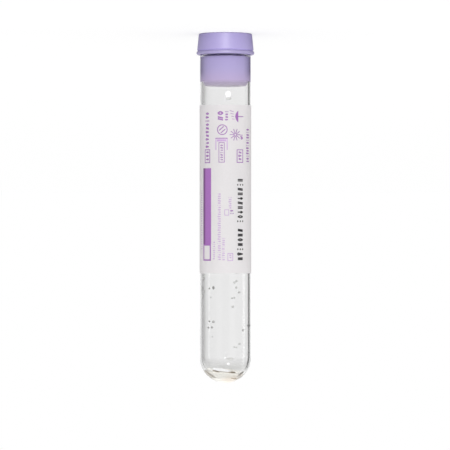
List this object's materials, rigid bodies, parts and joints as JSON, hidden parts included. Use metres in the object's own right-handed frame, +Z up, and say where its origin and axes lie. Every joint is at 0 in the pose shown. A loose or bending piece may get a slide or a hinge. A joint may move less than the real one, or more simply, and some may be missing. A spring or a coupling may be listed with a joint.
{
  "type": "blood collection tube",
  "caption": "Round-ended glass tube closed by a lavender rubber stopper, with a wrapped paper label and a clear liquid additive in its end.",
  "frame": {"origin": "the middle of the stopper's flat top, on which the closed tube stands", "axes": "+Z up the tube's axis, from the stopper to the round end; the label's printed side looks towards -Y"},
  "size_m": [0.0176, 0.0176, 0.1064],
  "materials": {
    "glass": "clear, colourless, fire-polished rim",
    "stopper_rubber": "lavender moulded rubber, satin",
    "label_paper": "white coated label paper with violet and black print reduced to plain shapes",
    "additive": "clear, colourless watery liquid"
  },
  "bodies": {
    "stopper": {"stopper": "stopper_rubber"},
    "tube": {"glass_tube": "glass", "label": "label_paper", "additive": "additive"}
  },
  "joints": [
    {"name": "stopper_pull", "type": "slide", "parent": "stopper", "child": "tube", "axis": [0, 0, 1], "range_m": [0, 0.03]}
  ]
}
